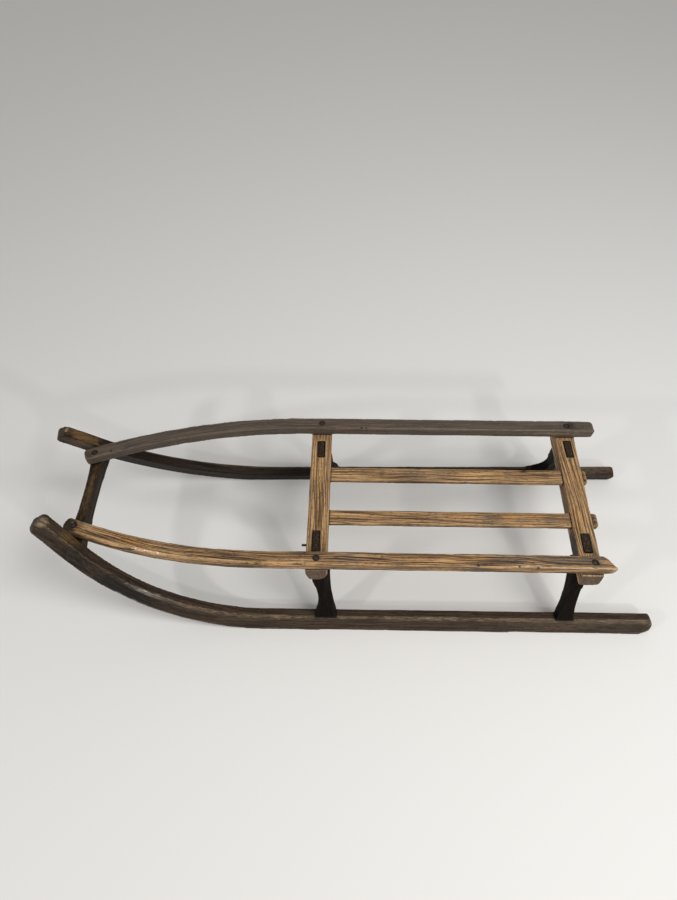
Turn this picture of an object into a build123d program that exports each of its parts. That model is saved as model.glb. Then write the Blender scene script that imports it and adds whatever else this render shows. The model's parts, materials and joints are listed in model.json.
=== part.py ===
from build123d import *

import os
from collections import namedtuple
from math import atan2, cos, degrees, radians, sin, tan

# Old hand-made wooden sled, all timber, with no moving piece.
# Millimetres. +X is forward, +Y is the sled's left, +Z is up.
# The origin is on the ground, at the middle of the sled's box.
# A station is a distance forward from the front face of the front beam.

# Runners: sawn bars that lean in with the legs and sweep up into horns
runner_width = 23.7
runner_depth = 41.4
track_width = 409.0
heel_station = -698.5
heel_bevel_length = 22.0
heel_bevel_rise = 11.0
heel_round = 12.0
horn_front_round = 16.0
horn_back_round = 9.0

# Height of the cross beams, hewn from one size of timber
beam_height = 39.6

# Seat rails: straight over the beams, then bent in and eased down to the crossbar
rail_width = 27.8
rail_thickness = 21.6
rail_top = 235.0
seat_width = 342.2
rail_past_crossbar = 20.0
rail_front_round = 9.0
rail_drop = 11.0
rail_drop_station = 0.0
rail_seat_depth = 0.8

# Slats between the beams, let in a little lower than the beams' tops
slat_thickness = 10.5
slat_below_beam = 4.4
slat_tenon = 22.0
slat_stub_round = 6.0

# Front crossbar between the horns, hewn to a waist from its front and rear
crossbar_station = 448.5
crossbar_width = 35.0
crossbar_height = 35.0
crossbar_front_waist = 8.0
crossbar_rear_waist = 7.0
crossbar_hewn = 15.0
crossbar_tenon_width = 13.0
crossbar_tenon_height = 16.0
crossbar_tenon_length = 13.0
crossbar_tenon_back = 5.0
crossbar_tenon_up = 4.0

# Legs: knees that lean in from the runners to the beams, widening into a broad tenon
leg_head_inset = 14.8
leg_flare_start = 66.0
leg_flare_width = 43.0
hewn_edge_width = 10.0
hewn_edge_depth = 22.0
hewn_edge_foot = 12.0
foot_tenon_width = 9.0
foot_tenon_depth = 17.0
foot_tenon_shoulder = 6.0

# Pegs, nail and fits
peg_diameter = 10.5
peg_in_beam = 26.0
peg_in_crossbar = 24.0
peg_sunk = 0.5
nail_diameter = 4.5
nail_length = 24.0
nail_proud = 9.0
nail_from_middle = 115.0
nail_below_top = 10.0
joint_clearance = 0.2
peg_clearance = 0.15

# One row for each side: hand is +1 on the left, toe is how far its runner opens forward in
# degrees, horn_station is where its sole starts to rise, then the horn's arc and straight tip.
# The rail's last numbers: its middle's distance inside the horn where it lies on the crossbar,
# and the radius and turn of its bend
Side = namedtuple("Side", "name hand toe horn_station horn_radius horn_turn horn_tip"
                          " rail_inset rail_radius rail_turn")
sides = [
    Side("left", 1, 0.25, 91.5, 437.0, 58.0, 94.5, 34.0, 1060.0, 21.0),
    Side("right", -1, -0.96, 82.4, 483.0, 54.0, 90.0, 22.0, 1400.0, 19.0),
]

# One row for each beam: front station, width, how far its ends stand out past the rails,
# and how its two lower edges are hewn off
Beam = namedtuple("Beam", "name station width proud front_in front_up rear_in rear_up")
beams = [
    Beam("front", 0.0, 41.8, 2.0, 6.0, 24.0, 10.0, 20.0),
    Beam("rear", -511.4, 39.6, 4.0, 2.5, 6.0, 1.5, 8.0),
]

# One row for each leg. Edge is how far an edge stands forward (+) or back (-) of the beam's
# middle, from the seat under the beam down through head and waist to the foot. Then come the
# heights of head, waist and toe, the tenon's shoulder on the outer side, its width there to
# its inner side at the top, its thickness and how far ahead of the beam's middle it stands,
# and whether the outer back edge is hewn off
Edge = namedtuple("Edge", "seat head waist foot")
Leg = namedtuple("Leg", "name side beam front back head_height waist_height toe_height"
                        " tenon_shoulder tenon_width tenon_thickness tenon_ahead hewn")
legs = [
    Leg("front_left", 0, 0, Edge(12, 10, 0, 6), Edge(-25, -25, -27.5, -36),
        150, 103, 6, 8.0, 55, 14.5, 2, True),
    Leg("front_right", 1, 0, Edge(11, 9, 1, 8), Edge(-19, -22, -25.5, -32),
        136, 90, 5, 8.0, 47, 14.5, 2, True),
    Leg("rear_left", 0, 1, Edge(23.5, 23.5, 24.5, 29.5), Edge(-2, -4, -1, -6.5),
        152, 105, 3, 15.5, 55, 16.5, 0, False),
    Leg("rear_right", 1, 1, Edge(18, 9.5, 12, 39), Edge(-16, -15, -14, -17),
        116, 72, 2, 8.0, 48, 14.5, -1.5, False),
]

# One row for each rail's rear end: where its inner and outer corners are sawn, how far each
# is rounded off, and how far back the sloping saw cut carries its top past its underside
RailEnd = namedtuple("RailEnd", "side inner_station inner_round outer_station outer_round"
                                " slope")
rail_ends = [
    RailEnd(0, -552.0, 18.0, -573.0, 2.0, 5.0),
    RailEnd(1, -588.5, 2.0, -587.0, 9.0, 2.0),
]

# One row for each slat: the middle of its width, left of the sled's middle, its width, and
# the stub that it shows behind the rear beam
Slat = namedtuple("Slat", "name middle width stub")
slats = [
    Slat("left", 53.4, 31.0, 12.0),
    Slat("right", -47.3, 31.4, 9.5),
]

# Heights and places that follow from the sizes above. The runners and legs lean in by the
# cant, from the soles' outer edges to where the legs meet the beams
beam_top = rail_top - rail_thickness
beam_bottom = beam_top - beam_height
slat_top = beam_top - slat_below_beam
crossbar_top = beam_top - rail_drop + rail_seat_depth
rail_middle = (seat_width - rail_width) / 2
rail_front_station = crossbar_station + rail_past_crossbar
leg_head_y = seat_width / 2 - leg_head_inset
cant = atan2(track_width / 2 - leg_head_y, beam_bottom)
beyond = 60.0


def tip_station(side):
    """How far forward a horn reaches, with its tip rounded and its lean taken in."""
    turn = radians(side.horn_turn)
    reach = side.horn_radius * sin(turn) + side.horn_tip * cos(turn)
    rise = side.horn_radius * (1 - cos(turn)) + side.horn_tip * sin(turn)
    rounded_off = horn_front_round * (cos(turn) + sin(turn) - 1)
    leaned = rise * sin(cant) * sin(radians(side.toe))
    return side.horn_station + reach - rounded_off + leaned


front_station = max(tip_station(side) for side in sides)
middle_station = (heel_station + front_station) / 2


def x_at(station):
    """Place along the sled of a station."""
    return station - middle_station


def widest_x(side):
    """Where the sole is furthest out: at the front if the runner opens forward."""
    return x_at(side.horn_station if side.toe > 0 else heel_station)


def beam_middle_x(beam):
    return x_at(beam.station) - beam.width / 2


def side_plane(side):
    """Outer face of one runner: x runs forward, y up the leaning face from the ground."""
    toe = radians(side.toe)
    forward = Vector(cos(toe), side.hand * sin(toe), 0)
    outward = Vector(-sin(toe), side.hand * cos(toe), 0) * cos(cant) + Vector(0, 0, sin(cant))
    origin = (widest_x(side), side.hand * track_width / 2, 0)
    return Plane(origin=origin, x_dir=forward, z_dir=outward * -side.hand)


def inner_plane(side):
    return side_plane(side).offset(side.hand * runner_width)


def cross_plane(side, x):
    """Square across one runner at x: its own x is the depth inward, its y the height up."""
    face = side_plane(side)
    inward = face.z_dir * side.hand
    return Plane(origin=face.from_local_coords(Vector(x - widest_x(side), 0, 0)), x_dir=inward,
                 z_dir=inward.cross(face.y_dir))


def height_up(z, depth):
    """Height up the leaning face of a point at level z and a depth inward of the face."""
    return (z + depth * sin(cant)) / cos(cant)


def horn_inner_y(side, z):
    """Distance of a horn's inner face from the sled's middle at the crossbar, at level z."""
    drift = (x_at(crossbar_station) - widest_x(side)) * tan(radians(side.toe))
    return track_width / 2 + drift - runner_width / cos(cant) - z * tan(cant)


def rail_front_y(side):
    """Distance of a rail from the sled's middle, where it lies on the crossbar."""
    return horn_inner_y(side, crossbar_top) - side.rail_inset


def rail_bend_station(side):
    """Where a rail starts to bend in, so as to run straight to its place on the crossbar."""
    turn = radians(side.rail_turn)
    inward = rail_middle - rail_front_y(side)
    return crossbar_station - (inward + side.rail_radius * (1 / cos(turn) - 1)) / tan(turn)


def head_outline(leg, low, high, gap):
    """Leg tenon seen along the sled between two levels, widened by a gap on both cheeks."""
    outer = leg.tenon_shoulder - gap
    spread = (leg.tenon_width - leg_flare_width) / beam_height
    low_inner = leg_flare_width + spread * (low - beam_bottom) + gap
    high_inner = leg_flare_width + spread * (high - beam_bottom) + gap
    return [
        (outer, height_up(low, outer)),
        (outer, height_up(high, outer)),
        (high_inner, height_up(high, high_inner)),
        (low_inner, height_up(low, low_inner)),
    ]


def make_head_tenon(leg, low, high, gap, mode):
    """Tenon at the head of a leg, or its mortise in the beam."""
    middle = beam_middle_x(beams[leg.beam]) + leg.tenon_ahead
    with BuildSketch(cross_plane(sides[leg.side], middle)) as outline:
        Polygon(*head_outline(leg, low, high, gap), align=None)
    extrude(outline.sketch, amount=leg.tenon_thickness / 2 + gap, both=True, mode=mode)


def make_foot_tenon(leg, gap, mode):
    """Short tenon under a leg's foot, or its mortise in the top of the runner."""
    side = sides[leg.side]
    middle = beam_middle_x(beams[leg.beam]) - widest_x(side)
    back = middle + leg.back.foot + foot_tenon_shoulder - gap
    front = middle + leg.front.foot - foot_tenon_shoulder + gap
    low = runner_depth - foot_tenon_depth - gap
    margin = (runner_width - foot_tenon_width) / 2 - gap
    high = runner_depth + foot_tenon_shoulder
    with BuildSketch(side_plane(side).offset(side.hand * margin)) as outline:
        Polygon((back, low), (front, low), (front, high), (back, high), align=None)
    extrude(outline.sketch, amount=side.hand * (foot_tenon_width + 2 * gap), mode=mode)


def make_crossbar_tenon(side, gap, mode):
    """Tenon at one end of the crossbar, or its mortise in the horn."""
    middle_z = crossbar_top - crossbar_height / 2 + crossbar_tenon_up
    reach = horn_inner_y(side, middle_z) + crossbar_tenon_length + gap
    with BuildSketch(Plane.XZ) as outline:
        with Locations((x_at(crossbar_station - crossbar_tenon_back), middle_z)):
            Rectangle(crossbar_tenon_width + 2 * gap, crossbar_tenon_height + 2 * gap)
    extrude(outline.sketch, amount=side.hand * -reach, mode=mode)


def crossbar_plan(gap):
    """Plan of the crossbar at its top, waisted between the horns, widened by a gap."""
    front = x_at(crossbar_station) + crossbar_width / 2 + gap
    rear = front - crossbar_width - 2 * gap
    end_y = max(horn_inner_y(side, crossbar_top - crossbar_height) for side in sides)
    with BuildSketch(Plane.XY.offset(crossbar_top)) as plan:
        with BuildLine():
            ThreePointArc((front, -end_y), (front - crossbar_front_waist, 0), (front, end_y))
            Line((front, end_y), (rear, end_y))
            ThreePointArc((rear, end_y), (rear + crossbar_rear_waist, 0), (rear, -end_y))
            Line((rear, -end_y), (front, -end_y))
        make_face()
    return plan.sketch


def rail_droop_radius():
    run = crossbar_station - rail_drop_station
    return (run ** 2 + rail_drop ** 2) / (2 * rail_drop)


def rail_top_at(station):
    """Height of a rail's top face, eased down on one large arc to the crossbar."""
    past = max(0.0, station - rail_drop_station)
    radius = rail_droop_radius()
    return rail_top - radius + (radius ** 2 - past ** 2) ** 0.5


Peg = namedtuple("Peg", "name station y depth")


def pegs_of(side):
    """The three pegs that hold one rail, in the middle of its width."""
    pegs = [Peg(f"{beam.name}_beam", beam.station - beam.width / 2, side.hand * rail_middle,
                peg_in_beam) for beam in beams]
    front = Peg("crossbar", crossbar_station, side.hand * rail_front_y(side),
                peg_in_crossbar)
    return pegs + [front]


def make_peg(peg, gap, mode):
    """Peg down through the rail, or its hole when there is a gap round it."""
    top = rail_top_at(peg.station)
    low = top - rail_thickness - peg.depth - gap
    high = top + gap * beyond - peg_sunk
    with BuildSketch(Plane.XY.offset(low)) as outline:
        with Locations((x_at(peg.station), peg.y)):
            Circle(peg_diameter / 2 + gap)
    extrude(outline.sketch, amount=high - low, mode=mode)


def make_nail(gap, mode):
    """Nail driven into the front beam's front face, through the left leg's tenon."""
    tip = nail_length - nail_proud + gap
    with BuildSketch(Plane.YZ.offset(x_at(beams[0].station) - tip)) as outline:
        with Locations((nail_from_middle, beam_top - nail_below_top)):
            Circle(nail_diameter / 2 + gap)
    extrude(outline.sketch, amount=nail_length + gap, mode=mode)


def build_runner(side):
    """Bar with a level sole, swept up into a horn with a rounded tip."""
    heel = x_at(heel_station) - widest_x(side)
    start = x_at(side.horn_station) - widest_x(side)
    radius = side.horn_radius
    with BuildPart() as runner:
        with BuildSketch(side_plane(side)):
            with BuildLine():
                Polyline((heel, runner_depth), (heel, heel_bevel_rise),
                         (heel + heel_bevel_length, 0), (start, 0))
                under = CenterArc((start, radius), radius, -90, side.horn_turn)
                over = CenterArc((start, radius), radius - runner_depth, -90, side.horn_turn)
                front = PolarLine(under @ 1, side.horn_tip, side.horn_turn)
                back = PolarLine(over @ 1, side.horn_tip, side.horn_turn)
                Line(front @ 1, back @ 1)
                Line(over @ 0, (heel, runner_depth))
            make_face()
            fillet(vertices().sort_by_distance(front @ 1)[0], horn_front_round)
            fillet(vertices().sort_by_distance(back @ 1)[0], horn_back_round)
            fillet(vertices().sort_by_distance((heel, runner_depth))[0], heel_round)
        extrude(amount=side.hand * runner_width)
        split(bisect_by=Plane.XY, keep=Keep.TOP)
        for leg in legs:
            if sides[leg.side] is side:
                make_foot_tenon(leg, joint_clearance, Mode.SUBTRACT)
        make_crossbar_tenon(side, joint_clearance, Mode.SUBTRACT)
    return runner


def edge_points(leg, edge):
    """The edge's points on its side plane: foot, toe, waist, head and beyond the seat."""
    middle = beam_middle_x(beams[leg.beam]) - widest_x(sides[leg.side])
    return [
        (middle + edge.foot, runner_depth),
        (middle + edge.foot, runner_depth + leg.toe_height),
        (middle + edge.waist, leg.waist_height),
        (middle + edge.head, leg.head_height),
        (middle + edge.seat, height_up(beam_bottom, leg_flare_width + beyond)),
    ]


def cut_hewn_edge(leg):
    """Hews the outer back edge off a leg, running out above the foot."""
    side = sides[leg.side]
    foot, toe, waist, head, seat = edge_points(leg, leg.back)
    out = beyond - hewn_edge_width
    run_out = (toe[0], toe[1] + hewn_edge_foot)
    with BuildSketch(side_plane(side)) as outline:
        with BuildLine():
            ThreePointArc(run_out, (waist[0] + hewn_edge_width, waist[1]),
                          (head[0] + hewn_edge_width, head[1]))
            Polyline((head[0] + hewn_edge_width, head[1]), (seat[0] + hewn_edge_width, seat[1]),
                     (seat[0] - out, seat[1]), (seat[0] - out, run_out[1]), run_out)
        make_face()
    taper = degrees(atan2(hewn_edge_width, hewn_edge_depth))
    extrude(outline.sketch, amount=side.hand * hewn_edge_depth, taper=taper, mode=Mode.SUBTRACT)


def build_leg(leg):
    """Knee with a waist and a flared foot, wider at its head, with a tenon at each end."""
    side = sides[leg.side]
    front_foot, front_toe, front_waist, front_head, front_seat = edge_points(leg, leg.front)
    back_foot, back_toe, back_waist, back_head, back_seat = edge_points(leg, leg.back)
    inner = leg_flare_width + beyond
    top = height_up(beam_bottom, inner)
    with BuildPart() as knee:
        with BuildSketch(side_plane(side)):
            with BuildLine():
                Polyline(front_toe, front_foot, back_foot, back_toe)
                ThreePointArc(back_toe, back_waist, back_head)
                Polyline(back_head, back_seat, front_seat, front_head)
                ThreePointArc(front_head, front_waist, front_toe)
            make_face()
        extrude(amount=side.hand * inner)
        with BuildSketch(cross_plane(side, beam_middle_x(beams[leg.beam]))):
            with BuildLine():
                Polyline((runner_width, leg_flare_start), (runner_width, 0), (0, 0), (0, top),
                         (inner, top))
                seat = (leg_flare_width, height_up(beam_bottom, leg_flare_width))
                flare = TangentArc((runner_width, leg_flare_start), seat, tangent=(0, 1))
                Line(flare @ 1, (inner, top))
            make_face()
        extrude(amount=beyond, both=True, mode=Mode.INTERSECT)
        if leg.hewn:
            cut_hewn_edge(leg)
        split(bisect_by=Plane.XY.offset(beam_bottom), keep=Keep.BOTTOM)
        make_head_tenon(leg, beam_bottom, beam_top, 0, Mode.ADD)
        make_foot_tenon(leg, 0, Mode.ADD)
        if leg.name == "front_left":
            make_nail(joint_clearance, Mode.SUBTRACT)
    return knee


def build_beam(beam):
    """Hewn beam with the leg mortises, the slats let in, and holes for pegs."""
    front = x_at(beam.station)
    rear = front - beam.width
    with BuildPart() as bar:
        with BuildSketch(Plane.XZ):
            Polygon((front, beam_top), (rear, beam_top), (rear, beam_bottom + beam.rear_up),
                    (rear + beam.rear_in, beam_bottom), (front - beam.front_in, beam_bottom),
                    (front, beam_bottom + beam.front_up), align=None)
        extrude(amount=seat_width / 2 + beam.proud, both=True)
        for leg in legs:
            if beams[leg.beam] is beam:
                make_head_tenon(leg, beam_bottom - beyond, beam_top + beyond, joint_clearance,
                                Mode.SUBTRACT)
        for slat in slats:
            make_slat(slat, joint_clearance, Mode.SUBTRACT)
        for side in sides:
            for peg in pegs_of(side):
                if peg.name == f"{beam.name}_beam":
                    make_peg(peg, peg_clearance, Mode.SUBTRACT)
        if beam.name == "front":
            make_nail(joint_clearance, Mode.SUBTRACT)
    return bar


def make_slat(slat, gap, mode):
    """Slat from its blind tenon in the front beam to its stub behind the rear beam."""
    front = x_at(beams[0].station - beams[0].width + slat_tenon) + gap
    rear = x_at(beams[1].station - beams[1].width - slat.stub) - gap
    with BuildSketch(Plane.XY.offset(slat_top + gap)) as outline:
        with Locations(((front + rear) / 2, slat.middle)):
            Rectangle(front - rear, slat.width + 2 * gap)
        fillet(vertices().group_by(Axis.X)[0], slat_stub_round)
    extrude(outline.sketch, amount=-(slat_thickness + 2 * gap), mode=mode)


def build_slat(slat):
    with BuildPart() as board:
        make_slat(slat, 0, Mode.ADD)
    return board


def build_crossbar():
    """Waisted bar with its lower front edge hewn off, tenoned into both horns."""
    front = x_at(crossbar_station) + crossbar_width / 2
    rear = front - crossbar_width
    low = crossbar_top - crossbar_height
    with BuildPart() as bar:
        with BuildSketch(Plane.XZ):
            Polygon((front, crossbar_top), (rear, crossbar_top), (rear, low),
                    (front - crossbar_hewn, low), (front, low + crossbar_hewn), align=None)
        extrude(amount=track_width, both=True)
        extrude(crossbar_plan(0), amount=-crossbar_height, mode=Mode.INTERSECT)
        for side in sides:
            inside = Keep.TOP if side.hand > 0 else Keep.BOTTOM
            split(bisect_by=inner_plane(side), keep=inside)
            make_crossbar_tenon(side, 0, Mode.ADD)
            make_peg(pegs_of(side)[-1], peg_clearance, Mode.SUBTRACT)
    return bar


def build_rail(end):
    """Rail bent in plan, eased down in side view, and seated on the crossbar."""
    side = sides[end.side]
    turn = radians(side.rail_turn)
    bend_x = x_at(rail_bend_station(side))
    centre_y = rail_middle - side.rail_radius
    past_bend = rail_front_station - rail_bend_station(side) - side.rail_radius * sin(turn)
    run = past_bend / cos(turn)
    outer_y = rail_middle + rail_width / 2
    inner_y = rail_middle - rail_width / 2
    low = beam_top - 2 * rail_drop
    droop = rail_droop_radius()
    droop_turn = 4.0
    far_rear = min(end.inner_station, end.outer_station)
    with BuildPart() as rail:
        with BuildSketch(Plane.XY.offset(low)):
            with BuildLine():
                outer = CenterArc((bend_x, centre_y), side.rail_radius + rail_width / 2,
                                  90, -side.rail_turn)
                inner = CenterArc((bend_x, centre_y), side.rail_radius - rail_width / 2,
                                  90, -side.rail_turn)
                outer_tip = PolarLine(outer @ 1, run, -side.rail_turn)
                inner_tip = PolarLine(inner @ 1, run, -side.rail_turn)
                Line(outer_tip @ 1, inner_tip @ 1)
                sawn = Polyline(outer @ 0, (x_at(end.outer_station), outer_y),
                                (x_at(end.inner_station), inner_y), inner @ 0).edges()[1]
            make_face()
            fillet(vertices().sort_by_distance(sawn @ 0)[0], end.outer_round)
            fillet(vertices().sort_by_distance(sawn @ 1)[0], end.inner_round)
            fillet(vertices().sort_by_distance(outer_tip @ 1)[0], rail_front_round)
            fillet(vertices().sort_by_distance(inner_tip @ 1)[0], rail_front_round)
        extrude(amount=rail_top - low)
        with BuildSketch(Plane.XZ):
            with BuildLine():
                droop_x = x_at(rail_drop_station)
                over = CenterArc((droop_x, rail_top - droop), droop, 90, -droop_turn)
                under = CenterArc((droop_x, rail_top - droop), droop - rail_thickness,
                                  90, -droop_turn)
                Line(over @ 1, under @ 1)
                Polyline(over @ 0, (x_at(far_rear), rail_top),
                         (x_at(far_rear) + end.slope, beam_top), under @ 0)
            make_face()
        extrude(amount=track_width, both=True, mode=Mode.INTERSECT)
        extrude(crossbar_plan(joint_clearance), amount=-rail_thickness, mode=Mode.SUBTRACT)
        if side.hand < 0:
            mirror(about=Plane.XZ, mode=Mode.REPLACE)
        for peg in pegs_of(side):
            make_peg(peg, peg_clearance, Mode.SUBTRACT)
    return rail


def build_peg(peg):
    with BuildPart() as pin:
        make_peg(peg, 0, Mode.ADD)
    return pin


def build_nail():
    with BuildPart() as nail:
        make_nail(0, Mode.ADD)
    return nail


def save(piece, name):
    piece.part.label = name
    export_step(piece.part, f"parts/{name}.step")


os.makedirs("parts", exist_ok=True)
for side in sides:
    save(build_runner(side), f"runner_{side.name}")
    for peg in pegs_of(side):
        save(build_peg(peg), f"peg_{side.name}_{peg.name}")
for leg in legs:
    save(build_leg(leg), f"leg_{leg.name}")
for beam in beams:
    save(build_beam(beam), f"beam_{beam.name}")
for slat in slats:
    save(build_slat(slat), f"slat_{slat.name}")
for end in rail_ends:
    save(build_rail(end), f"rail_{sides[end.side].name}")
save(build_crossbar(), "crossbar_front")
save(build_nail(), "nail_front_beam")
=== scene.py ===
import json
import math
from collections import namedtuple

import bmesh
import bpy
import numpy as np
from mathutils import Matrix, Vector, kdtree, noise
from mathutils.bvhtree import BVHTree

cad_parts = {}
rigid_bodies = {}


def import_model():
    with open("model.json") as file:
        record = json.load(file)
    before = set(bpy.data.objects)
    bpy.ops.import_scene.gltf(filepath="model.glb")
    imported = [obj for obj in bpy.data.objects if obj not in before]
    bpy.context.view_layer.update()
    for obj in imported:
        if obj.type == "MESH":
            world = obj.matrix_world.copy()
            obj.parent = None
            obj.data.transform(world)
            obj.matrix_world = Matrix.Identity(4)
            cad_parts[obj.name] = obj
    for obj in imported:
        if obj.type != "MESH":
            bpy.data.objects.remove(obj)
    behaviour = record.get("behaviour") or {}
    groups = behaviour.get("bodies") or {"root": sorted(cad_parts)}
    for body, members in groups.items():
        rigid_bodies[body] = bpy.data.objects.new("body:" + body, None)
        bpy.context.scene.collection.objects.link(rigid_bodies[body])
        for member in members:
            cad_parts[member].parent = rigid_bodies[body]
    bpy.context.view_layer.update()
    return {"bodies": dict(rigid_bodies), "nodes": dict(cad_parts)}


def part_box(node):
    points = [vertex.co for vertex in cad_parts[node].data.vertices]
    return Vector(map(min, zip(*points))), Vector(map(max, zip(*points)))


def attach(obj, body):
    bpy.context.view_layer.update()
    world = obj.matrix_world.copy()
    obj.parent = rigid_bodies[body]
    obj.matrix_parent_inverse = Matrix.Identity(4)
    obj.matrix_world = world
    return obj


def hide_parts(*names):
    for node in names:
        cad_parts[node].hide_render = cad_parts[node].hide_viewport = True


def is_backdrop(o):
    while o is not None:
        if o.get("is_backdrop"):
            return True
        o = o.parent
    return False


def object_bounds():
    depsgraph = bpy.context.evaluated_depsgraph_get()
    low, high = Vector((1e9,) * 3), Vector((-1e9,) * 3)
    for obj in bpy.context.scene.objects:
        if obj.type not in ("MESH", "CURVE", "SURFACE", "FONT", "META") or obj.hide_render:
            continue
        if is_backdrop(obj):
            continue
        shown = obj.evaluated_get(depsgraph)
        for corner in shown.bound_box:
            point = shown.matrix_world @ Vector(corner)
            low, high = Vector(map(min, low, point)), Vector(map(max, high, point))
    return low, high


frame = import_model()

# An old hand-made wooden sled: hewn and worn timbers, pegged and tenoned. Lengths are in metres,
# and in millimetres in the tables. X runs forward to the horns, Y to the sled's left, which is
# the side next to the camera, and Z up.
MM = 0.001
nodes = frame["nodes"]
body = sorted(frame["bodies"])[0]

# Each row is one hewn timber: its node, its record's slot, its finish, the axis that its grain
# runs along, how far the tree's heart lies off to the side and below, how the grain drifts off
# to the side and upward per length, how deep wear cuts into its edges and corners, how deep the
# tools left hollows, waves and furrows, how far rubbing spreads from its edges, and how much of
# that its inner edges share.
Timber = namedtuple("Timber", "node slot finish along heart_side heart_down drift_side drift_up"
                              " edge_wear corner_wear hollow wave furrow rub_reach inner_rub")
timbers = [
    Timber("runner_left", "runner_wood", "runner_near", 0, 60, 60, 0.010, 0.020,
           1.2, 1.4, 0.25, 0.3, 0.35, 8, 0.10),
    # The far runner's finish is painted darker, partly dirt and partly painted shade.
    Timber("runner_right", "runner_wood", "runner_far_dirty_and_shaded", 0, -50, 70, -0.010, 0.015,
           1.2, 1.4, 0.25, 0.3, 0.35, 7, 0.10),
    Timber("rail_left", "rail_wood", "rail_rubbed", 0, 70, 45, 0.006, 0.012,
           1.5, 1.2, 0.15, 0.2, 0.15, 5, 0.60),
    Timber("rail_right", "rail_wood", "rail_greyed", 0, -60, 50, 0.010, 0.020,
           1.1, 1.2, 0.15, 0.2, 0.10, 6, 1.00),
    Timber("beam_front", "deck_wood", "deck", 1, 90, 35, 0.010, 0.010,
           0.9, 1.4, 0.15, 0.2, 0.15, 5, 1.00),
    Timber("beam_rear", "deck_wood", "deck", 1, -90, 25, 0.080, 0.020,
           0.9, 1.4, 0.15, 0.2, 0.15, 5, 1.00),
    Timber("slat_left", "deck_wood", "deck", 0, 60, 35, 0.020, 0.010,
           0.8, 1.0, 0.15, 0.2, 0.15, 5, 0.80),
    Timber("slat_right", "deck_wood", "deck", 0, -55, 30, 0.015, 0.010,
           0.8, 1.0, 0.15, 0.2, 0.15, 5, 0.80),
    Timber("crossbar_front", "runner_wood", "crossbar", 1, 50, 40, 0.020, 0.020,
           1.0, 1.2, 0.25, 0.3, 0.35, 8, 1.00),
    Timber("leg_front_left", "leg_wood", "leg", 2, 45, 45, 0.050, 0.020,
           1.0, 1.2, 0.35, 0.4, 0.40, 6, 1.00),
    Timber("leg_front_right", "leg_wood", "leg", 2, -40, 50, 0.030, 0.020,
           1.0, 1.2, 0.35, 0.4, 0.40, 6, 1.00),
    Timber("leg_rear_left", "leg_wood", "leg", 2, 50, 40, -0.040, 0.030,
           1.0, 1.2, 0.35, 0.4, 0.40, 6, 1.00),
    Timber("leg_rear_right", "leg_wood", "leg", 2, -45, 45, 0.030, 0.030,
           1.0, 1.2, 0.35, 0.4, 0.40, 6, 1.00),
]

# A timber's clean copy: vertices closer than the weld are one, and facets that lie as flat as
# this are one face. An edge counts as sharp from the first angle and as an arris from the second.
weld = 0.005 * MM
flat_angle = math.radians(0.5)
sharp_edge = math.radians(22)
arris = 2 * sharp_edge

# How fine the worn surface is, and how far wear, the joints' dirt and painted shade, and a peg's
# surroundings reach
surface_step = 1.7 * MM
wear_reach = 5 * MM
corner_reach = 12 * MM
joint_dirt_and_shade_reach = 7 * MM
peg_reach = 8 * MM
edge_point_step = 2 * MM

# Along a bent timber the grain's middle line is found at this step, then smoothed so often. End
# grain shows where the surface lies this much across the grain, and this fast.
bend_step = 12 * MM
bend_smoothings = 2
end_grain_from, end_grain_rise = 0.7, 5

# Wear at an edge: its steady part, what uneven and ragged wood adds, and the most it can be.
# Then the share of it that a joint is spared, the share that an inner edge still gets, where
# nicks start and how deep they go, and where furrows start and how steep they are
wear_steady, wear_uneven, wear_ragged, wear_most = 0.6, 0.9, 0.35, 1.2
joint_spared, inner_wear = 0.85, 0.4
nick_from, nick_depth = 0.3, 2
furrow_from, furrow_steep = -0.1, 2

# Rubbing by hands and feet: its steady part, what uneven and ragged wood and corners add, and
# how much of it is left on what faces sideways or down
rub_steady, rub_uneven, rub_ragged, rub_corner = 1.1, 0.9, 0.5, 0.5
rub_below = 0.35

# The rounded outer top edges, how far they stop short of what stands on them, and which faces
# meet there: one that faces outward, and one that faces up but not forward
runner_round = 5.0 * MM
rail_round = 6.5 * MM
rounding_stop = 4 * MM
rounding_segments = 3
outward_facing, upward_facing, forward_facing = 0.8, 0.3, 0.2

# How often each unevenness comes per metre, along the grain and twice across it
uneven_rate = (22, 60, 60)
ragged_rate = (90, 260, 260)
scallop_rate = (22, 45, 45)
wave_rate = (5, 14, 14)
furrow_rate = (14, 210, 210)
peg_rate = (420, 420, 60)
seed_shift = (3.1, 5.7, 1.3)
heart_shift = 0.37

# A peg's round, the rings of its top in millimetres, how deep its rim is rubbed down, how far
# the whole top is sunk, and how rough it is; what keeps its top apart from its side; and how
# far from its middle its rim starts to darken with dirt and painted shade, and how fast
peg_sides = 36
peg_rings = (0.5, 0.6, 0.8, 1.0, 1.0)
peg_rim_wear, peg_sunk, peg_rough = 0.5, 0.25, 0.4
peg_top = 0.1 * MM
peg_dirt_and_shade_from, peg_dirt_and_shade_rise = 0.45, 2.2
first_peg_seed = 20

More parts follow.
